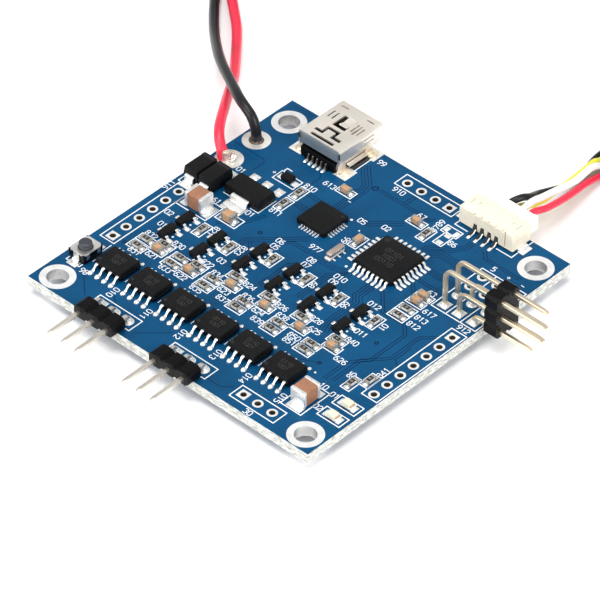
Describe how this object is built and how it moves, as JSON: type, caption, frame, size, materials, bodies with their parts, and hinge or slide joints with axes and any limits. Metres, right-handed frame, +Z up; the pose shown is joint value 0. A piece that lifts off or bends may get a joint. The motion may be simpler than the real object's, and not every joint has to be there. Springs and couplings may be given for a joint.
{
  "type": "electronic speed controller",
  "caption": "Bare square circuit board that drives brushless motors, with right-angle pin headers, a USB socket, a reset button, a plugged sensor lead and soldered power leads.",
  "frame": {"origin": "on the underside of the board, at the centre of the square of four mounting holes", "axes": "+Z up out of the component side, +X along the edge with the two motor headers, +Y from that edge towards the USB and sensor sockets"},
  "size_m": [0.0977, 0.1045, 0.01],
  "materials": {
    "solder_mask": "blue solder mask over glass-epoxy board",
    "black_moulding": "black moulded plastic",
    "gold_plate": "pale gold plate on square pins",
    "plated_steel": "plated sheet steel",
    "solder": "bright solder",
    "natural_nylon": "off-white moulded nylon",
    "plunger_plastic": "dark grey moulded plastic",
    "led_lens": "milky moulded lens",
    "capacitor_ceramic": "brown fired ceramic with tinned ends",
    "black_insulation": "black wire insulation",
    "red_insulation": "red wire insulation"
  },
  "bodies": {
    "board": {"circuit_board": "solder_mask", "bridge_chip_1": "black_moulding", "bridge_chip_2": "black_moulding", "bridge_chip_3": "black_moulding", "bridge_chip_4": "black_moulding", "bridge_chip_5": "black_moulding", "bridge_chip_6": "black_moulding", "driver_transistor_1": "black_moulding", "driver_transistor_2": "black_moulding", "driver_transistor_3": "black_moulding", "driver_transistor_4": "black_moulding", "driver_transistor_5": "black_moulding", "driver_transistor_6": "black_moulding", "driver_transistor_7": "black_moulding", "driver_transistor_8": "black_moulding", "driver_transistor_9": "black_moulding", "driver_transistor_10": "black_moulding", "driver_transistor_11": "black_moulding", "driver_transistor_12": "black_moulding", "controller_chip": "black_moulding", "usb_bridge_chip": "black_moulding", "regulator_chip": "black_moulding", "input_diode_1": "black_moulding", "input_diode_2": "black_moulding", "status_led_1": "led_lens", "status_led_2": "led_lens", "input_capacitor": "capacitor_ceramic", "bridge_capacitor": "capacitor_ceramic", "motor_header_1_housing": "black_moulding", "motor_header_1_pin_1": "gold_plate", "motor_header_1_pin_2": "gold_plate", "motor_header_1_pin_3": "gold_plate", "motor_header_2_housing": "black_moulding", "motor_header_2_pin_1": "gold_plate", "motor_header_2_pin_2": "gold_plate", "motor_header_2_pin_3": "gold_plate", "servo_header_housing": "black_moulding", "servo_signal_pin_1": "gold_plate", "servo_supply_pin_1": "gold_plate", "servo_ground_pin_1": "gold_plate", "servo_signal_pin_2": "gold_plate", "servo_supply_pin_2": "gold_plate", "servo_ground_pin_2": "gold_plate", "usb_shell": "plated_steel", "usb_core": "black_moulding", "button_base": "black_moulding", "button_cover": "plated_steel", "button_dome": "plated_steel", "sensor_socket": "natural_nylon", "black_wire_joint": "solder", "red_wire_joint": "solder", "black_power_lead": "black_insulation", "red_power_lead": "red_insulation", "power_lead_coil": "black_insulation", "power_plug": "natural_nylon"},
    "button_plunger": {"button_plunger": "plunger_plastic"},
    "sensor_plug": {"sensor_plug": "natural_nylon", "sensor_lead": "red_insulation", "sensor_lead_coil": "red_insulation", "sensor_lead_plug": "natural_nylon"}
  },
  "joints": [
    {"name": "button_press", "type": "slide", "parent": "board", "child": "button_plunger", "axis": [0, 0, -1], "range_m": [0, 0.00025], "stiffness_N_per_m": 4000, "springref_m": -0.0001, "deforming": ["button_dome"]},
    {"name": "sensor_plug_pull", "type": "slide", "parent": "board", "child": "sensor_plug", "axis": [0, 1, 0], "range_m": [0, 0.005]}
  ]
}
